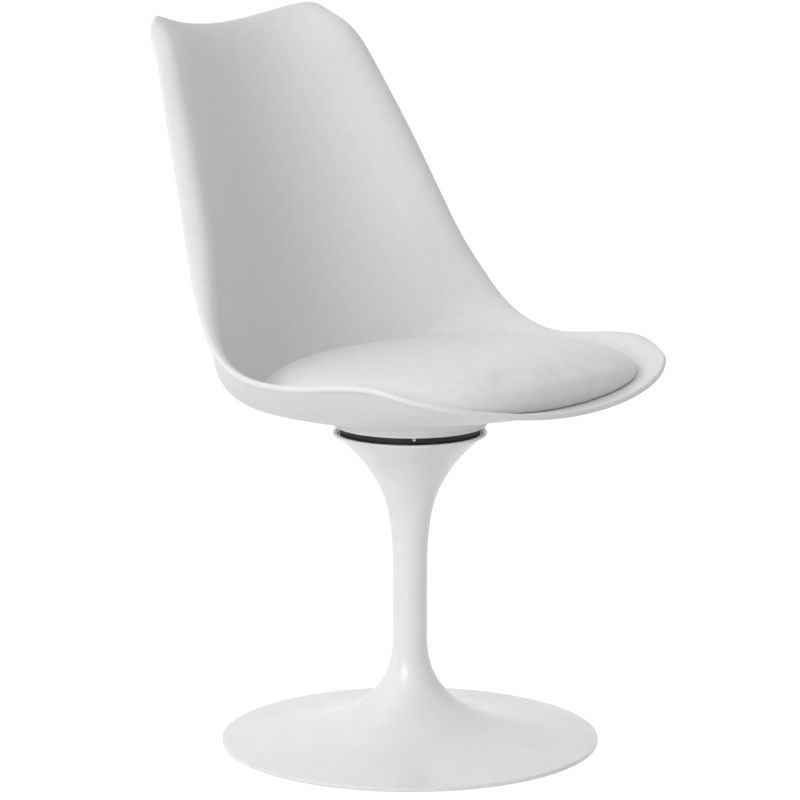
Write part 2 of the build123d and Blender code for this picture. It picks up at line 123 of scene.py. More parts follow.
def arc(centre, radius, fromDegrees, toDegrees, steps):
    turns = np.radians(np.linspace(fromDegrees, toDegrees, steps + 1))
    return [(centre[0] + radius * math.cos(a), centre[1] + radius * math.sin(a)) for a in turns]


def closeTree(tree, geometry, finish, label):
    # how each tree ends: instances made real, and the finish put on
    real = addNode(tree, "GeometryNodeRealizeInstances", {"Geometry": geometry})
    painted = addNode(
        tree, "GeometryNodeSetMaterial", {"Geometry": real.outputs[0], "Material": finish}
    )
    addNode(tree, "NodeGroupOutput", {label: painted.outputs[0]})
    return tree


# ---- turned pieces: one Geometry Nodes tree spins a profile round the swivel axis
def buildTurningTree():
    tree = bpy.data.node_groups.new("turnedRoundAxis", "GeometryNodeTree")
    tree.interface.new_socket("Profile", in_out="INPUT", socket_type="NodeSocketGeometry")
    tree.interface.new_socket("Steps round", in_out="INPUT", socket_type="NodeSocketInt")
    tree.interface.new_socket("Finish", in_out="INPUT", socket_type="NodeSocketMaterial")
    tree.interface.new_socket("Turned", in_out="OUTPUT", socket_type="NodeSocketGeometry")
    given = addNode(tree, "NodeGroupInput").outputs
    counts = addNode(
        tree, "GeometryNodeAttributeDomainSize", {"Geometry": given["Profile"]}, component="MESH"
    )
    grid = addNode(
        tree,
        "GeometryNodeMeshGrid",
        {"Vertices X": counts.outputs["Point Count"], "Vertices Y": given["Steps round"]},
    )
    index = addNode(tree, "GeometryNodeInputIndex")
    row = mathNode(
        tree, "FLOOR", mathNode(tree, "DIVIDE", index.outputs[0], given["Steps round"])
    )
    column = mathNode(tree, "MODULO", index.outputs[0], given["Steps round"])
    steps = mathNode(tree, "SUBTRACT", given["Steps round"], 1)
    angle = mathNode(tree, "MULTIPLY", mathNode(tree, "DIVIDE", column, steps), 2 * math.pi)
    place = addNode(tree, "GeometryNodeInputPosition")
    taken = addNode(
        tree,
        "GeometryNodeSampleIndex",
        {"Geometry": given["Profile"], "Value": place.outputs[0], "Index": row},
        data_type="FLOAT_VECTOR",
    )
    spun = addNode(
        tree,
        "ShaderNodeVectorRotate",
        {"Vector": taken.outputs[0], "Angle": angle},
        rotation_type="Z_AXIS",
    )
    wrapped = addNode(
        tree,
        "GeometryNodeSetPosition",
        {"Geometry": grid.outputs["Mesh"], "Position": spun.outputs[0]},
    )
    closed = addNode(
        tree, "GeometryNodeMergeByDistance", {"Geometry": wrapped.outputs[0], "Distance": 1e-5}
    )
    return closeTree(tree, closed.outputs[0], given["Finish"], "Turned")


def bakeNodes(name, carrier, tree, values, smoothAngle=35):
    # runs a tree once on the carrier's geometry and keeps the result as a plain mesh
    modifier = carrier.modifiers.new(name, "NODES")
    modifier.node_group = tree
    sockets = {s.name: s.identifier for s in tree.interface.items_tree if s.in_out == "INPUT"}
    for label, value in values.items():
        modifier[sockets[label]] = value
    seen = carrier.evaluated_get(bpy.context.evaluated_depsgraph_get())
    mesh = bpy.data.meshes.new_from_object(seen)
    carrier.modifiers.remove(modifier)
    bpy.data.objects.remove(carrier)
    mesh.name = name
    mesh.shade_smooth()
    mesh.set_sharp_from_angle(angle=math.radians(smoothAngle))
    piece = bpy.data.objects.new(name, mesh)
    scene.collection.objects.link(piece)
    return piece


turningTree = buildTurningTree()


def turnedPiece(name, profile, finish, stepsRound=192):
    # profile: (radius, height) from the lowest point inside, round to where it started
    strip = bpy.data.meshes.new(name + "Profile")
    edges = [(i, i + 1) for i in range(len(profile) - 1)]
    strip.from_pydata([(r, 0, z) for r, z in profile], edges, [])
    carrier = bpy.data.objects.new(name + "Profile", strip)
    scene.collection.objects.link(carrier)
    return bakeNodes(
        name, carrier, turningTree, {"Steps round": stepsRound + 1, "Finish": finish}
    )


# ---- materials
def startMaterial(name):
    material = bpy.data.materials.new(name)
    material.use_nodes = True
    tree = material.node_tree
    tree.nodes.clear()
    shader = addNode(tree, "ShaderNodeBsdfPrincipled")
    addNode(tree, "ShaderNodeOutputMaterial", {"Surface": shader.outputs[0]})
    place = addNode(tree, "ShaderNodeTexCoord").outputs["Object"]
    return material, tree, shader, place


def noiseBump(tree, shader, place, layers):
    # layers: (size in mm, depth in mm, detail), summed into one bump
    normal = None
    for size, depth, detail in layers:
        noise = addNode(
            tree,
            "ShaderNodeTexNoise",
            {"Vector": place, "Scale": perMetre(size), "Detail": detail, "Roughness": 0.55},
        )
        inputs = {"Height": noise.outputs[0], "Strength": 1.0, "Distance": depth / 1000}
        if normal:
            inputs["Normal"] = normal
        normal = addNode(tree, "ShaderNodeBump", inputs).outputs[0]
    tree.links.new(normal, shader.inputs["Normal"])


def variedColour(tree, shader, place, light, dark, size, detail=3.0, contrast=(0.35, 0.65)):
    # a soft change between two near colours, over patches of the given size in mm
    noise = addNode(
        tree,
        "ShaderNodeTexNoise",
        {"Vector": place, "Scale": perMetre(size), "Detail": detail, "Roughness": 0.6},
    )
    ramp = addNode(tree, "ShaderNodeValToRGB", {"Fac": noise.outputs[0]})
    ramp.color_ramp.elements[0].position, ramp.color_ramp.elements[1].position = contrast
    ramp.color_ramp.elements[0].color = linearColour(dark)
    ramp.color_ramp.elements[1].color = linearColour(light)
    tree.links.new(ramp.outputs[0], shader.inputs["Base Color"])


def variedRoughness(tree, shader, place, low, high, size, contrast=(0.3, 0.7)):
    noise = addNode(
        tree,
        "ShaderNodeTexNoise",
        {"Vector": place, "Scale": perMetre(size), "Detail": 4.0, "Roughness": 0.6},
    )
    spread = addNode(
        tree,
        "ShaderNodeMapRange",
        {
            "Value": noise.outputs[0],
            "From Min": contrast[0],
            "From Max": contrast[1],
            "To Min": low,
            "To Max": high,
        },
    )
    tree.links.new(spread.outputs[0], shader.inputs["Roughness"])


def makePolypropylene():
    # Injection-moulded polypropylene: matt, with a fine cloudy grain from the etched mould
    material, tree, shader, place = startMaterial("mouldedPolypropylene")
    shader.inputs["IOR"].default_value = 1.49
    variedColour(tree, shader, place, "#ECECEC", "#E9E9E9", 8)
    variedRoughness(tree, shader, place, 0.5, 0.6, 6)
    # the real grain is about 0.6 mm; the 3 mm layer is coarse enough to show from here
    noiseBump(tree, shader, place, [(3, 0.035, 3.0), (1.2, 0.025, 2.0)])
    return material


def makeSyntheticLeather():
    # Smooth polyurethane leather: soft satin, with fine pebbles and faint wrinkles
    material, tree, shader, place = startMaterial("smoothSyntheticLeather")
    shader.inputs["IOR"].default_value = 1.5
    shader.inputs["Sheen Weight"].default_value = 0.08
    variedColour(tree, shader, place, "#E9E9E9", "#E5E5E5", 16)
    variedRoughness(tree, shader, place, 0.42, 0.52, 12)
    pebbles = addNode(
        tree,
        "ShaderNodeTexVoronoi",
        {"Vector": place, "Scale": perMetre(1.6), "Randomness": 0.9},
        feature="DISTANCE_TO_EDGE",
    )
    creases = addNode(
        tree,
        "ShaderNodeMapRange",
        {"Value": pebbles.outputs["Distance"], "From Max": 0.25, "To Max": 1.0},
        interpolation_type="SMOOTHSTEP",
    )
    grain = addNode(
        tree,
        "ShaderNodeBump",
        {"Height": creases.outputs[0], "Strength": 0.6, "Distance": 0.00008},
    )
    folds = addNode(
        tree,
        "ShaderNodeTexNoise",
        {"Vector": place, "Scale": perMetre(5), "Detail": 3.0, "Roughness": 0.5},
    )
    waves = addNode(
        tree,
        "ShaderNodeBump",
        {
            "Height": folds.outputs[0],
            "Strength": 1.0,
            "Distance": 0.00006,
            "Normal": grain.outputs[0],
        },
    )
    tree.links.new(waves.outputs[0], shader.inputs["Normal"])
    return material


def makeEnamel():
    # Gloss enamel baked on cast metal: hard clear highlights, with a slight orange peel
    material, tree, shader, place = startMaterial("glossWhiteEnamel")
    shader.inputs["IOR"].default_value = 1.5
    shader.inputs["Coat Weight"].default_value = 0.3
    shader.inputs["Coat Roughness"].default_value = 0.05
    shader.inputs["Coat IOR"].default_value = 1.5
    variedColour(tree, shader, place, "#EFEFEF", "#EBEBEB", 40, 2.0)
    variedRoughness(tree, shader, place, 0.3, 0.38, 30)
    noiseBump(tree, shader, place, [(9, 0.02, 2.0), (45, 0.08, 1.0)])
    return material


def makeBlackPlastic():
    # Moulded black nylon: satin, with a fine even grain
    material, tree, shader, place = startMaterial("satinBlackNylon")
    variedColour(tree, shader, place, "#141415", "#0D0D0E", 5)
    variedRoughness(tree, shader, place, 0.5, 0.62, 4)
    noiseBump(tree, shader, place, [(0.8, 0.02, 2.0)])
    return material


def makeMetal(name, light, dark, rough, grain, peel):
    # a metal surface: patches of tone, and a grain left by rolling, plating or grinding
    material, tree, shader, place = startMaterial(name)
    shader.inputs["Metallic"].default_value = 1.0
    variedColour(tree, shader, place, light, dark, grain * 6)
    variedRoughness(tree, shader, place, rough, rough + 0.12, grain * 3)
    noiseBump(tree, shader, place, [(grain, peel, 3.0)])
    return material


def makePaintedSteel():
    # Black electro-coat on pressed plate: even, satin, slightly pebbled
    material, tree, shader, place = startMaterial("blackElectroCoat")
    variedColour(tree, shader, place, "#26272A", "#1A1B1D", 12)
    variedRoughness(tree, shader, place, 0.35, 0.5, 6)
    noiseBump(tree, shader, place, [(1.5, 0.02, 3.0)])
    return material


def makeRubber():
    # Moulded rubber: dull and dark, with a dusty bloom
    material, tree, shader, place = startMaterial("mouldedRubber")
    shader.inputs["IOR"].default_value = 1.52
    variedColour(tree, shader, place, "#2C2C2C", "#1E1E1E", 7)
    variedRoughness(tree, shader, place, 0.7, 0.85, 5)
    noiseBump(tree, shader, place, [(0.7, 0.03, 3.0)])
    return material


def makeNylonCage():
    # Natural nylon: milky, and a little waxy
    material, tree, shader, place = startMaterial("naturalNylon")
    shader.inputs["Subsurface Weight"].default_value = 0.1
    variedColour(tree, shader, place, "#E6E0CE", "#DCD4BE", 6)
    variedRoughness(tree, shader, place, 0.35, 0.5, 3)
    noiseBump(tree, shader, place, [(1.0, 0.02, 2.0)])
    return material


def makePlywood():
    # Birch plywood: long pale grain with darker early wood
    material, tree, shader, place = startMaterial("birchPlywood")
    stretched = addNode(
        tree, "ShaderNodeMapping", {"Vector": place, "Scale": (1.0, 0.06, 1.0)}
    ).outputs[0]
    variedColour(tree, shader, stretched, "#D9BF96", "#BE9C6C", 5, 6.0)
    variedRoughness(tree, shader, place, 0.6, 0.75, 8)
    noiseBump(tree, shader, stretched, [(1.5, 0.05, 4.0)])
    return material


def makePadFabric():
    # Hook and loop tape: a dense dark pile
    material, tree, shader, place = startMaterial("hookLoopTape")
    shader.inputs["Sheen Weight"].default_value = 0.3
    variedColour(tree, shader, place, "#2A2A2C", "#161617", 1.2)
    variedRoughness(tree, shader, place, 0.85, 0.95, 2)
    noiseBump(tree, shader, place, [(0.8, 0.35, 2.0)])
    return material


polypropylene = makePolypropylene()
leather = makeSyntheticLeather()
enamel = makeEnamel()
blackNylon = makeBlackPlastic()
electroCoat = makePaintedSteel()
rubber = makeRubber()
nylonCage = makeNylonCage()
plywood = makePlywood()
padFabric = makePadFabric()
# Zinc plate: cool grey, with a faint spangle
zincPlate = makeMetal("zincPlatedSteel", "#C9CCD0", "#B4B8BD", 0.28, 0.8, 0.01)
# Ground bearing steel: bright, close grain
bearingSteel = makeMetal("groundBearingSteel", "#D3D3D5", "#C2C2C5", 0.12, 0.4, 0.004)
# Sintered bronze: warm and dull from its open pores
bronze = makeMetal("sinteredBronze", "#B08A4E", "#8F6C38", 0.42, 0.5, 0.03)
print("materials made")


# ---- pedestal
pedestalSizes = {
    "footRadius": 0.215,
    "footEdge": 0.0055,  # height of the foot's outer edge
    "footLift": 0.0008,
    # radius and height along the foot, up to the stem
    "flare": [(0.115, 0.0185), (0.0437, 0.0565), (0.0249, 0.087)],
    "flareTop": 0.125,
    "stemRadius": 0.0196,
    "wall": 0.005,
    "innerShoulder": 0.7,  # share of the wall by which the flare's inner face steps in
    "bellFloor": 0.344,
    "floorThickness": 0.008,
    "bell": [(0.0219, 0.247), (0.0302, 0.2865), (0.0474, 0.319), (0.0594, 0.334)],
    "bellStart": 0.2,
    "innerBell": [(0.025, 0.2865), (0.0424, 0.3215), (0.0474, 0.336)],
    "lipHeight": 0.361,
    "lipRadius": 0.0875,
    "lipEdge": 0.0034,
    "lipRoot": (0.0762, 0.3513),
    "lipCorner": (0.003, 0.0028),  # outside the root, and below the lip's underside
    "lipFlat": 0.005,
    # radii at the top and foot of the slope inside the lip, and its depth
    "step": (0.0838, 0.0802, 0.0028),
    "mouthRadius": 0.071,
    "floorRadius": 0.060,
    "grooveInner": 0.1898,
    "grooveOuter": 0.2052,
    "grooveDepth": 0.003,
    "edgeRound": 0.0009,
    # distance between the points of each curve
    "footSpacing": 0.004,
    "bellSpacing": 0.003,
    "underSpacing": 0.006,
    "innerSpacing": 0.004,
}


def makePedestal(s):
    stem, wall = s["stemRadius"], s["wall"]
    lipUnder = s["lipHeight"] - s["lipEdge"]
    foot = curveThrough(
        [(s["footRadius"], s["footEdge"])] + s["flare"] + [(stem, s["flareTop"])],
        (-1, 0.06),
        (0, 1),
        s["footSpacing"],
    )
    bell = curveThrough(
        [(stem, s["bellStart"])] + s["bell"] + [s["lipRoot"]], (0, 1), (1, 1), s["bellSpacing"]
    )
    lipTurn = s["lipRadius"] - s["lipEdge"] / 2
    lip = arc((lipTurn, s["lipHeight"] - s["lipEdge"] / 2), s["lipEdge"] / 2, -90, 90, 8)
    inset = wall * s["innerShoulder"]
    shoulder = np.array(s["flare"][:2]) - [[0, wall], [inset, inset]]
    under = curveThrough(
        [(s["grooveInner"], s["grooveDepth"])] + list(shoulder) + [(stem - wall, s["flareTop"])],
        (-1, 0.1),
        (0, 1),
        s["underSpacing"],
    )
    innerBell = curveThrough(
        [(stem - wall, s["bellStart"])] + s["innerBell"], (0, 1), (1, 1), s["innerSpacing"]
    )
    edge, rounding = s["footRadius"], s["edgeRound"]
    profile = [(0, s["bellFloor"] - s["floorThickness"])]
    profile += [tuple(p) for p in innerBell[::-1]]
    profile += [tuple(p) for p in under[::-1]]
    profile += [
        (s["grooveOuter"], s["grooveDepth"]),
        (s["grooveOuter"], s["footLift"]),
    ]
    profile += arc((edge - rounding, s["footLift"] + rounding), rounding, -90, 0, 4)
    profile += [(edge, s["footEdge"] - rounding)]
    profile += arc((edge - rounding, s["footEdge"] - rounding), rounding, 30, 86, 3)
    profile += [tuple(p) for p in foot if p[0] < edge - 2 * rounding]
    profile += [tuple(p) for p in bell]
    profile += [
        (s["lipRoot"][0] + s["lipCorner"][0], lipUnder - s["lipCorner"][1]),
        (lipTurn - s["lipFlat"], lipUnder),
    ]
    profile += lip
    profile += [
        (s["step"][0], s["lipHeight"]),
        (s["step"][1], s["lipHeight"] - s["step"][2]),
        (s["mouthRadius"], s["lipHeight"] - s["step"][2]),
        (s["floorRadius"], s["bellFloor"]),
        (0, s["bellFloor"]),
    ]
    piece = turnedPiece("trumpet_pedestal", profile, enamel)
    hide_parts("pedestal")
    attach(piece, "base")
    return piece


pedestal = makePedestal(pedestalSizes)
print("pedestal made:", len(pedestal.data.polygons), "faces")


# ---- black ring in the gap, with its grub screws
skirtSizes = {
    "innerRadius": 0.0765,
    "outerRadius": 0.0795,
    "top": 0.3687,
    "bottom": 0.359,
    "edgeRound": 0.0006,
}
grubSizes = {
    "count": 3,
    "firstAngle": 224.0,
    "radius": 0.0020,
    "length": 0.003,
    "socket": 0.0011,
    "depth": 0.0013,
    "height": 0.3665,
    "standsAt": 0.0796,
}


def makeSkirt(s):
    inner, outer, small = s["innerRadius"], s["outerRadius"], s["edgeRound"]
    profile = [(inner, s["bottom"])]
    profile += arc((outer - small, s["bottom"] + small), small, -90, 0, 3)
    profile += arc((outer - small, s["top"] - small), small, 0, 90, 3)
    profile += [(inner, s["top"]), (inner, s["bottom"])]
    piece = turnedPiece("black_skirt_ring", profile, blackNylon, 144)
    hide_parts("skirt_ring")
    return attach(piece, "seat")


def buildGrubTree():
    # a grub screw with a hexagon socket, set round the ring, each facing outwards
    tree = bpy.data.node_groups.new("grubScrewsRound", "GeometryNodeTree")
    for label in (
        "Radius",
        "Length",
        "End face",
        "Socket",
        "Depth",
        "Height",
        "Stands at",
        "First angle",
    ):
        tree.interface.new_socket(label, in_out="INPUT", socket_type="NodeSocketFloat")
    tree.interface.new_socket("Count", in_out="INPUT", socket_type="NodeSocketInt")
    tree.interface.new_socket("Finish", in_out="INPUT", socket_type="NodeSocketMaterial")
    tree.interface.new_socket("Screws", in_out="OUTPUT", socket_type="NodeSocketGeometry")
    given = addNode(tree, "NodeGroupInput").outputs
    body = addNode(
        tree,
        "GeometryNodeMeshCylinder",
        {"Vertices": 24, "Radius": given["Radius"], "Depth": given["Length"]},
    )
    socket = addNode(
        tree,
        "GeometryNodeMeshCylinder",
        {"Vertices": 6, "Radius": given["Socket"], "Depth": given["Depth"]},
    )
    top = addNode(tree, "ShaderNodeCombineXYZ", {"Z": given["End face"]})
    raised = addNode(
        tree,
        "GeometryNodeTransform",
        {"Geometry": socket.outputs["Mesh"], "Translation": top.outputs[0]},
    )
    cut = addNode(
        tree,
        "GeometryNodeMeshBoolean",
        {"Mesh 1": body.outputs["Mesh"], "Mesh 2": raised.outputs[0]},
        operation="DIFFERENCE",
    )
    ring = addNode(
        tree,
        "GeometryNodeMeshCircle",
        {"Vertices": given["Count"], "Radius": given["Stands at"]},
    )
    start = addNode(tree, "ShaderNodeCombineXYZ", {"Z": given["First angle"]})
    lift = addNode(tree, "ShaderNodeCombineXYZ", {"Z": given["Height"]})
    placed = addNode(
        tree,
        "GeometryNodeTransform",
        {
            "Geometry": ring.outputs["Mesh"],
            "Translation": lift.outputs[0],
            "Rotation": start.outputs[0],
        },
    )
    spot = addNode(tree, "GeometryNodeInputPosition")
    level = addNode(
        tree,
        "ShaderNodeVectorMath",
        {0: spot.outputs[0], 1: (1.0, 1.0, 0.0)},
        operation="MULTIPLY",
    )
    outwards = addNode(
        tree, "FunctionNodeAlignRotationToVector", {"Vector": level.outputs[0]}, axis="Z"
    )
    copies = addNode(
        tree,
        "GeometryNodeInstanceOnPoints",
        {
            "Points": placed.outputs[0],
            "Instance": cut.outputs["Mesh"],
            "Rotation": outwards.outputs[0],
        },
    )
    return closeTree(tree, copies.outputs[0], given["Finish"], "Screws")


def makeGrubScrews(s):
    carrier = bpy.data.objects.new("grubCarrier", bpy.data.meshes.new("grubCarrier"))
    scene.collection.objects.link(carrier)
    piece = bakeNodes(
        "skirt_grub_screws",
        carrier,
        buildGrubTree(),
        {
            "Radius": s["radius"],
            "Length": s["length"],
            "End face": s["length"] / 2,
            "Socket": s["socket"],
            "Depth": s["depth"],
            "Height": s["height"],
            "Stands at": s["standsAt"] - s["length"] / 2,
            "First angle": math.radians(s["firstAngle"]),
            "Count": s["count"],
            "Finish": zincPlate,
        },
    )
    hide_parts("skirt_screws")
    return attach(piece, "seat")


makeSkirt(skirtSizes)
makeGrubScrews(grubSizes)
print("skirt ring and grub screws made")


# ---- seat shell
shellSizes = {
    "collarBase": 0.369,
    "wall": 0.007,
    # cross-sections of the inner face, from the front edge to the top: behind the axis,
    # above the collar, half width, rise of the sides, sharpness of the sides, width of the
    # rolled edge, and the slope it ends with (the back's edges roll over and fall behind)
    "sections": [
        (-0.280, 0.046, 0.180, 0.031, 2.0, 0.020, 0),
        (-0.262, 0.050, 0.185, 0.035, 2.0, 0.020, 0),
        (-0.246, 0.049, 0.190, 0.038, 2.0, 0.020, 0),
        (-0.226, 0.0471, 0.1965, 0.0426, 2.1, 0.020, 0),
        (-0.198, 0.0423, 0.206, 0.0530, 2.4, 0.020, 0.05),
        (-0.150, 0.0335, 0.213, 0.0657, 2.8, 0.016, 0.1),
        (-0.090, 0.0235, 0.2225, 0.092, 3.05, 0.014, 0.1),
        (-0.020, 0.0155, 0.230, 0.101, 3.4, 0.012, 0.1),
        (0.050, 0.016, 0.2405, 0.0905, 3.55, 0.012, 0.05),
        (0.105, 0.019, 0.249, 0.0985, 3.5, 0.018, -0.1),
        (0.152, 0.028, 0.2475, 0.1165, 3.3, 0.026, -0.45),
        (0.187, 0.047, 0.241, 0.1315, 2.7, 0.036, -0.85),
        (0.207, 0.077, 0.232, 0.132, 2.6, 0.044, -1.15),
        (0.228, 0.131, 0.219, 0.1275, 2.5, 0.050, -1.3),
        (0.243, 0.191, 0.2075, 0.116, 2.4, 0.050, -1.3),
        (0.256, 0.256, 0.1945, 0.0995, 2.3, 0.048, -1.3),
        (0.268, 0.321, 0.181, 0.0815, 2.2, 0.044, -1.2),
        (0.281, 0.381, 0.165, 0.0605, 2.1, 0.038, -1.1),
        (0.2925, 0.4235, 0.153, 0.032, 2.0, 0.030, -1.0),
        (0.310, 0.449, 0.149, 0.029, 2.0, 0.026, -1.0),
    ],
    # the rim, square to a plane that leans back 45 degrees: half width, and way up the slope
    "rim": [
        (0, 0.521),
        (0.072, 0.520),
        (0.141, 0.503),
        (0.175, 0.437),
        (0.2025, 0.329),
        (0.229, 0.216),
        (0.248, 0.127),
        (0.2465, 0.065),
        (0.234, 0.021),
        (0.232, -0.023),
        (0.2225, -0.065),
        (0.1745, -0.109),
        (0.0935, -0.1375),
        (0, -0.1455),
    ],
    "collarRadius": 0.087,
    "collarLip": 0.002,
    "neckRadius": 0.0853,
    "neckHeight": 0.0035,
    "collarRound": 0.001,
    "collarCut": 0.3,  # share of the rounding at which it has its middle point
    "flareRadius": 0.098,
    "flareLength": 0.013,
    "flareArrival": 0.6,  # share of that length with which the flare meets the neck
    "centre": 0.010,  # way up the slope of the middle of the mesh
    "columns": 288,
    "insideRows": 96,
    "outsideRows": 84,
    "insideEase": 0.45,  # how much shorter the steps get towards the rim
    "outsideEase": 0.3,
    "rimSteps": 8,
    "rimSpacing": 0.0005,
    "flareSteps": 8,
    "halvings": 30,  # of the search for the line where the collar flares out
}
halfRoot = math.sqrt(0.5)


class ShellSurface:
    # the shell's inner face as a height over the leaning plane
    def __init__(self, s):
        rows = np.array(s["sections"])
        self.up = (rows[:, 0] + rows[:, 1]) * halfRoot
        height = (rows[:, 1] - rows[:, 0]) * halfRoot
        self.rows = np.column_stack([height, rows[:, 2:]])
        ends = [
            (self.rows[k + 1] - self.rows[k]) / (self.up[k + 1] - self.up[k]) for k in (0, -2)
        ]
        self.slopes = splineSlopes(self.up, self.rows, ends[0], ends[1])
        self.base = s["collarBase"]

    def height(self, across, up):
        low, wide, rise, sharp, roll, edge = splineAt(self.up, self.rows, self.slopes, up).T
        share = np.abs(across) / wide
        wallShare = 1 - roll / wide
        endSlope = edge * wide
        halfRoll = (1 - wallShare) / 2
        startFactor = sharp * wallShare ** (sharp - 1)
        scale = (rise - endSlope * halfRoll) / (wallShare**sharp + startFactor * halfRoll)
        startSlope = scale * startFactor
        intoRoll = np.clip(share, wallShare, 1) - wallShare
        flattening = (startSlope - endSlope) * intoRoll**2 / (4 * halfRoll)
        rolled = scale * wallShare**sharp + startSlope * intoRoll - flattening
        rolled = rolled + endSlope * np.maximum(share - 1, 0)
        plain = scale * np.minimum(share, wallShare) ** sharp
        return low + np.where(share <= wallShare, plain, rolled)

    def place(self, across, up, height):
        # leaning plane to the chair's own axes
        return np.column_stack(
            [across, (up - height) * halfRoot, self.base + (up + height) * halfRoot]
        )

    def slope(self, across, up, step=0.0004):
        alongX = self.height(across + step, up) - self.height(across - step, up)
        alongUp = self.height(across, up + step) - self.height(across, up - step)
        return alongX / (2 * step), alongUp / (2 * step)

    def normal(self, across, up):
        alongX, alongUp = self.slope(across, up)
        length = np.sqrt(1 + alongX**2 + alongUp**2)
        x, u, h = -alongX / length, -alongUp / length, 1 / length
        return np.column_stack([x, (u - h) * halfRoot, (u + h) * halfRoot])

    def top(self, across, up):
        return self.place(across, up, self.height(across, up))

    def under(self, across, up, wall):
        return self.top(across, up) - wall * self.normal(across, up)


def rimPoints(s):
    # the closed rim at even steps, with the way that points out of it
    half = curveThrough(s["rim"], (1, 0), (-1, 0), s["rimSpacing"])
    closed = np.vstack([half, half[-2:0:-1] * [-1, 1]])
    closed = np.vstack([closed, closed[:1]])
    length = np.concatenate([[0], np.cumsum(np.linalg.norm(np.diff(closed, axis=0), axis=1))])
    at = np.linspace(0, length[-1], s["columns"] + 1)[:-1]
    points = np.column_stack([np.interp(at, length, closed[:, k]) for k in (0, 1)])
    along = np.roll(points, -1, axis=0) - np.roll(points, 1, axis=0)
    along /= np.linalg.norm(along, axis=1)[:, None]
    return points, np.column_stack([-along[:, 1], along[:, 0]])


def easedSteps(count, ease):
    # from 0 to 1, with the steps shorter towards 1
    u = np.linspace(0, 1, count + 1)
    return u + ease * (u - u * u)


def makeShell(s):
    surface = ShellSurface(s)
    wall, base = s["wall"], s["collarBase"]
    rim, outwards = rimPoints(s)
    centre = np.array([0, s["centre"]])
    alongX, alongUp = surface.slope(rim[:, 0], rim[:, 1])
    climb = alongX * outwards[:, 0] + alongUp * outwards[:, 1]
    inner = rim - outwards * (wall / 2 / np.sqrt(1 + climb**2))[:, None]

    rows = []
    for u in easedSteps(s["insideRows"], s["insideEase"])[1:]:
        at = centre + u * (inner - centre)
        rows.append(surface.top(at[:, 0], at[:, 1]))

    # round the rim: half a turn about the middle of the wall
    topEdge = surface.top(inner[:, 0], inner[:, 1])
    normal = surface.normal(inner[:, 0], inner[:, 1])
    ahead = surface.top(*(inner + outwards * s["rimSpacing"]).T) - topEdge
    ahead -= normal * np.sum(ahead * normal, axis=1)[:, None]
    ahead /= np.linalg.norm(ahead, axis=1)[:, None]
    middle = topEdge - normal * wall / 2
    for turn in np.radians(np.linspace(90, -90, s["rimSteps"] + 1))[1:]:
        rows.append(middle + (ahead * math.cos(turn) + normal * math.sin(turn)) * wall / 2)

    # back over the outside, to where the collar flares out of it
    ways = inner - centre
    low, high = np.full(len(ways), 0.02), np.full(len(ways), 1.0)
    for _ in range(s["halvings"]):
        reach = (low + high) / 2
        at = centre + ways * reach[:, None]
        spot = surface.under(at[:, 0], at[:, 1], wall)
        outside = np.hypot(spot[:, 0], spot[:, 1]) > s["flareRadius"]
        high, low = np.where(outside, reach, high), np.where(outside, low, reach)
    for u in easedSteps(s["outsideRows"], s["outsideEase"])[::-1][1:]:
        at = centre + ways * (reach + u * (1 - reach))[:, None]
        rows.append(surface.under(at[:, 0], at[:, 1], wall))

    # the collar: a soft flare, a short neck and a flat foot
    edge, beyond = rows[-1], rows[-2]
    turn = np.arctan2(edge[:, 1], edge[:, 0])
    round2d = np.column_stack([np.cos(turn), np.sin(turn), np.zeros(len(turn))])
    neck = round2d * s["neckRadius"] + [0, 0, base + s["neckHeight"]]
    leave = edge - beyond
    leave *= (s["flareLength"] / np.linalg.norm(leave, axis=1))[:, None]
    arrive = np.array([0, 0, -s["flareLength"] * s["flareArrival"]])
    for u in np.linspace(0, 1, s["flareSteps"] + 1)[1:]:
        rows.append(
            edge * (1 + 2 * u) * (1 - u) ** 2
            + neck * u * u * (3 - 2 * u)
            + leave * u * (1 - u) ** 2
            - arrive * u * u * (1 - u)
        )
    cut = s["collarRound"] * s["collarCut"]
    for radius, height in [
        (s["collarRadius"], s["collarLip"]),
        (s["collarRadius"], s["collarRound"]),
        (s["collarRadius"] - cut, cut),
        (s["collarRadius"] - s["collarRound"], 0),
    ]:
        rows.append(round2d * radius + [0, 0, base + height])

    count = s["columns"]
    points = [surface.top(centre[:1], centre[1:])] + rows + [np.array([[0, 0, base]])]
    last = 1 + len(rows) * count
    faces = []
    for j in range(count):
        k = (j + 1) % count
        faces.append((0, 1 + k, 1 + j))
        faces.append((last, last - count + j, last - count + k))
        for i in range(len(rows) - 1):
            a, b = 1 + i * count, 1 + (i + 1) * count
            faces.append((a + j, a + k, b + k, b + j))
    piece = newMesh("moulded_shell", np.vstack(points), faces, 50)
    piece.data.materials.append(polypropylene)
    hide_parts("seat_shell")
    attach(piece, "seat")
    return piece, surface


shell, shellSurface = makeShell(shellSizes)
print("shell made:", len(shell.data.polygons), "faces")


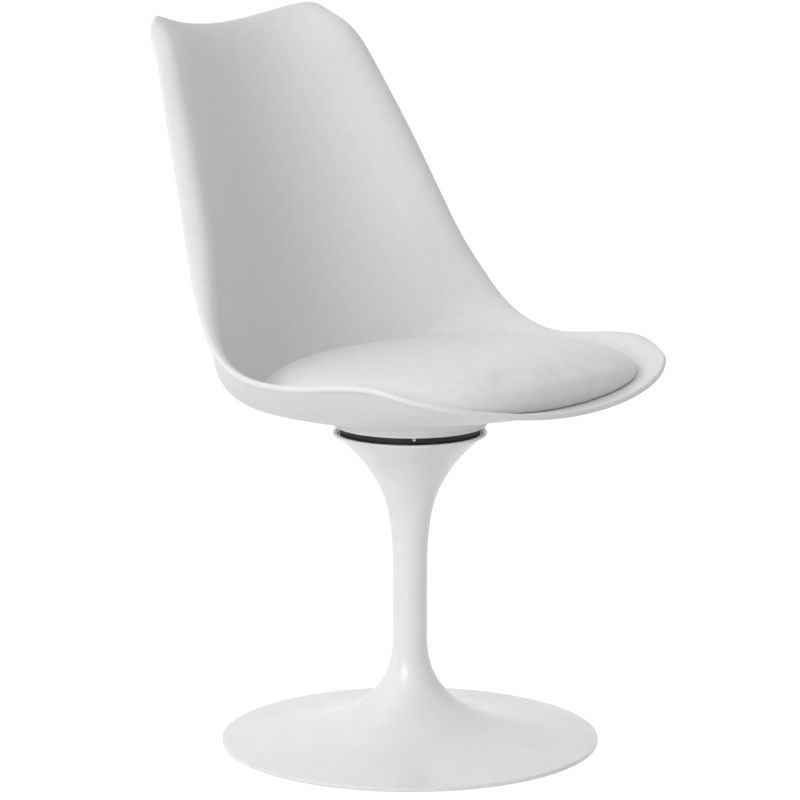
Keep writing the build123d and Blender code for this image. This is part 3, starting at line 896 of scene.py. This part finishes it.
# ---- cushion
cushionSizes = {
    "halfWidth": 0.221,
    "middle": -0.042,
    "backLength": 0.198,
    "frontLength": 0.198,
    "backPower": 2.0,
    "frontPower": 2.75,
    "tilt": -4.1,
    "girth": 0.4198,  # height of the widest line at the axis
    "base": 0.3935,
    # share of the outline, and height over the widest line
    "top": [
        (1.0, 0.0),
        (0.99, 0.0059),
        (0.96, 0.0119),
        (0.91, 0.0174),
        (0.83, 0.0233),
        (0.72, 0.0288),
        (0.56, 0.0337),
        (0.34, 0.0367),
        (0.0, 0.0377),
    ],
    "underneath": [
        (0.99, -0.0075),
        (0.97, -0.015),
        (0.935, -0.022),
        (0.87, -0.029),
        (0.78, -0.036),
        (0.6, -0.041),
        (0.3, -0.043),
        (0.0, -0.044),
    ],
    "angleStep": 3.0,  # degrees between the points of each outline
    "swell": 0.004,  # furthest that the filling may push it out
    "clearance": 0.0004,
    "restPasses": 5,
    "voxel": 0.005,
    "smoothFirst": 4,  # rounds of smoothing before and after it is filled
    "smoothLast": 3,
    "pressure": 4.0,
    "clothQuality": 6,
    "frames": 20,
    "fill": 0.85,
}


def cushionEdge(s, angle):
    front = math.sin(angle) < 0
    length = s["frontLength"] if front else s["backLength"]
    power = 2 / (s["frontPower"] if front else s["backPower"])
    across = math.copysign(abs(math.cos(angle)) ** power, math.cos(angle))
    along = math.copysign(abs(math.sin(angle)) ** power, math.sin(angle))
    return s["halfWidth"] * across, length * along


def restInPan(points, s):
    # points that would lie inside the shell move out of it, square to its inner face
    for _ in range(s["restPasses"]):
        rise = points[:, 2] - shellSizes["collarBase"]
        up, height = (points[:, 1] + rise) * halfRoot, (rise - points[:, 1]) * halfRoot
        gap = height - shellSurface.height(points[:, 0], up)
        alongX, alongUp = shellSurface.slope(points[:, 0], up)
        apart = gap / np.sqrt(1 + alongX**2 + alongUp**2)
        push = np.maximum(s["clearance"] - apart, 0)
        points = points + push[:, None] * shellSurface.normal(points[:, 0], up)
    return points


def makeCushion(s):
    tilt = math.radians(s["tilt"])
    angles = [math.radians(a) for a in np.arange(0, 360, s["angleStep"])]
    edge = np.array([cushionEdge(s, a) for a in angles])
    levels = s["top"][::-1] + s["underneath"]
    rings, count = [], len(angles)
    for share, level in levels:
        flat = edge * share
        y = s["middle"] + flat[:, 1]
        rings.append(
            np.column_stack(
                [
                    flat[:, 0],
                    y * math.cos(tilt) - level * math.sin(tilt),
                    s["girth"] + y * math.sin(tilt) + level * math.cos(tilt),
                ]
            )
        )
    points = [rings[0][:1]] + rings[1:-1] + [rings[-1][:1]]
    last = 1 + (len(levels) - 2) * count
    faces = []
    for j in range(count):
        k = (j + 1) % count
        faces.append((0, 1 + j, 1 + k))
        faces.append((last, last - count + k, last - count + j))
        for i in range(len(levels) - 3):
            a, b = 1 + i * count, 1 + (i + 1) * count
            faces.append((a + k, a + j, b + j, b + k))
    return newMesh("sewn_cushion", np.vstack(points), faces, 180)


def applyModifiers(piece):
    seen = piece.evaluated_get(bpy.context.evaluated_depsgraph_get())
    mesh = bpy.data.meshes.new_from_object(seen)
    piece.modifiers.clear()
    old = piece.data
    piece.data = mesh
    bpy.data.meshes.remove(old)


def smoothPiece(piece, rounds):
    smooth = piece.modifiers.new("Smooth", "SMOOTH")
    smooth.iterations, smooth.factor = rounds, 0.5
    applyModifiers(piece)


def meshPoints(piece):
    points = np.empty(len(piece.data.vertices) * 3)
    piece.data.vertices.foreach_get("co", points)
    return points.reshape(-1, 3)


def setPoints(piece, points):
    piece.data.vertices.foreach_set("co", points.ravel())
    piece.data.update()


def fillCushion(piece, s):
    # air pressure pushes the sewn cover out, as the filling does
    before = meshPoints(piece)
    cloth = piece.modifiers.new("Cloth", "CLOTH")
    cloth.settings.use_pressure = True
    cloth.settings.uniform_pressure_force = s["pressure"]
    cloth.settings.effector_weights.gravity = 0
    cloth.settings.quality = s["clothQuality"]
    cloth.point_cache.frame_start, cloth.point_cache.frame_end = 1, s["frames"]
    for number in range(1, s["frames"] + 1):
        scene.frame_set(number)
    seen = piece.evaluated_get(bpy.context.evaluated_depsgraph_get())
    after = np.empty(len(before) * 3)
    seen.data.vertices.foreach_get("co", after)
    piece.modifiers.clear()
    scene.frame_set(1)
    moved = after.reshape(-1, 3) - before
    length = np.linalg.norm(moved, axis=1)[:, None] + 1e-9
    capped = moved * (s["swell"] * np.tanh(length / s["swell"]) / length)
    setPoints(piece, before + capped)


def finishCushion(piece, s):
    remesh = piece.modifiers.new("Remesh", "REMESH")
    remesh.mode, remesh.voxel_size = "VOXEL", s["voxel"]
    applyModifiers(piece)
    smoothPiece(piece, s["smoothFirst"])
    fillCushion(piece, s)
    smoothPiece(piece, s["smoothLast"])
    points = restInPan(meshPoints(piece), s)
    # the underside is flat where it bridges the middle of the pan
    points[:, 2] = np.maximum(points[:, 2], s["base"])
    setPoints(piece, points)
    subdivide = piece.modifiers.new("Subdivision", "SUBSURF")
    subdivide.levels = subdivide.render_levels = 1
    applyModifiers(piece)
    piece.data.shade_smooth()
    piece.data.materials.clear()
    piece.data.materials.append(leather)
    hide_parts("cushion_cover", "cushion_foam")
    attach(piece, "seat")


cushion = makeCushion(cushionSizes)
finishCushion(cushion, cushionSizes)
print("cushion made:", len(cushion.data.polygons), "faces")


# ---- CAD pieces that keep their shape get their finish
finishes = {
    rubber: ["foot_ring"],
    electroCoat: ["base_plate", "top_plate"],
    zincPlate: [
        "base_screws",
        "weld_nuts",
        "spindle",
        "spindle_washer",
        "spindle_nut",
        "seat_bolts",
        "seat_bolt_washers",
        "cover_staples",
    ],
    bearingSteel: ["lower_race", "upper_race", "bearing_balls"],
    bronze: ["spindle_bush"],
    nylonCage: ["ball_cage"],
    plywood: ["cushion_board"],
    padFabric: ["hook_pads", "loop_pads"],
}
for material, names in finishes.items():
    for name in names:
        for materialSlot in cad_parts[name].material_slots:
            materialSlot.material = material
print("CAD pieces painted")


# ---- floor, lamps, background and camera
stageSizes = {
    "floorRadius": 40,
    "floorTone": "#E8E8E8",
    "floorGlow": 0.92,
    "floorShade": 0.25,  # how much of the light and shade on the floor shows
    "ambient": 0.52,
}


def shownRays(tree):
    # 1 for rays from the camera, from a reflection or through something clear
    path = addNode(tree, "ShaderNodeLightPath").outputs
    seen = mathNode(tree, "MAXIMUM", path["Is Camera Ray"], path["Is Glossy Ray"])
    return mathNode(tree, "MAXIMUM", seen, path["Is Transmission Ray"])


def makeFloor(s):
    around = [math.radians(a) for a in range(0, 360, 6)]
    ring = [(s["floorRadius"] * math.cos(a), s["floorRadius"] * math.sin(a), 0) for a in around]
    floor = newMesh("studio_floor", ring, [tuple(range(len(ring)))])
    material = bpy.data.materials.new("paleFloor")
    material.use_nodes = True
    tree = material.node_tree
    tree.nodes.clear()
    matt = addNode(tree, "ShaderNodeBsdfDiffuse", {"Color": linearColour(s["floorTone"])})
    # to the eye the floor is white, and only a deep shadow greys it
    glow = addNode(tree, "ShaderNodeEmission", {"Strength": s["floorGlow"]})
    faint = addNode(tree, "ShaderNodeBsdfDiffuse", {"Color": [s["floorShade"]] * 3 + [1]})
    shown = addNode(tree, "ShaderNodeAddShader", {0: glow.outputs[0], 1: faint.outputs[0]})
    either = addNode(
        tree,
        "ShaderNodeMixShader",
        {0: shownRays(tree), 1: matt.outputs[0], 2: shown.outputs[0]},
    )
    addNode(tree, "ShaderNodeOutputMaterial", {"Surface": either.outputs[0]})
    floor.data.materials.append(material)


def makeBackground(s):
    world = bpy.data.worlds.new("studioWhite")
    world.use_nodes = True
    tree = world.node_tree
    tree.nodes.clear()
    level = addNode(
        tree,
        "ShaderNodeMapRange",
        {"Value": shownRays(tree), "To Min": s["ambient"], "To Max": 1.0},
    )
    white = addNode(
        tree, "ShaderNodeBackground", {"Color": (1, 1, 1, 1), "Strength": level.outputs[0]}
    )
    addNode(tree, "ShaderNodeOutputWorld", {"Surface": white.outputs[0]})
    scene.world = world


lampSizes = {
    "distance": 3.2,
    "aim": (0, 0, 0.45),
    "size": 1.6,
    # degrees to the right of the camera, degrees above level, watts, and whether it is
    # mirrored in glossy surfaces
    "keyLamp": (-30, 18, 34, True),
    "sideLamp": (-90, 45, 19, False),
    "rearLamp": (180, 55, 11, False),
}


def makeLamps(s, toRight, toCamera):
    ahead = Vector((toCamera.x, toCamera.y, 0)).normalized()
    for name in ("keyLamp", "sideLamp", "rearLamp"):
        turn, up, power, mirrored = s[name]
        turn, up = math.radians(turn), math.radians(up)
        level = toRight * math.sin(turn) + ahead * math.cos(turn)
        way = level * math.cos(up) + Vector((0, 0, math.sin(up)))
        lamp = bpy.data.lights.new(name, "AREA")
        lamp.shape, lamp.size, lamp.energy = "DISK", s["size"], power
        holder = bpy.data.objects.new(name, lamp)
        holder.location = Vector(s["aim"]) + way * s["distance"]
        holder.rotation_euler = (-way).to_track_quat("-Z", "Y").to_euler()
        holder.visible_glossy = mirrored
        scene.collection.objects.link(holder)


cameraSizes = {
    "azimuth": -49.08,  # from the chair's front towards its right side
    "elevation": 10.63,
    "distance": 4.356,
    "aimHeight": 0.3963,
    "aimRight": -0.01144,
    "lens": 173.8,
    "sensor": 36,
    "clipEnd": 200,  # past the floor's far edge
}


def makeCamera(s):
    a, e = math.radians(s["azimuth"]), math.radians(s["elevation"])
    back = Vector((math.sin(a) * math.cos(e), -math.cos(a) * math.cos(e), math.sin(e)))
    right = Vector((math.cos(a), math.sin(a), 0))
    up = back.cross(right)
    place = Vector((0, 0, s["aimHeight"])) + right * s["aimRight"] + back * s["distance"]
    camera = bpy.data.cameras.new("camera")
    camera.lens, camera.sensor_width = s["lens"], s["sensor"]
    camera.clip_end = s["clipEnd"]
    holder = bpy.data.objects.new("camera", camera)
    axes = Matrix((right, up, back)).transposed().to_4x4()
    holder.matrix_world = Matrix.Translation(place) @ axes
    scene.collection.objects.link(holder)
    scene.camera = holder
    return right, back


makeFloor(stageSizes)
makeBackground(stageSizes)
toRight, toCamera = makeCamera(cameraSizes)
makeLamps(lampSizes, toRight, toCamera)
scene.view_settings.view_transform = "Standard"
print("studio ready")
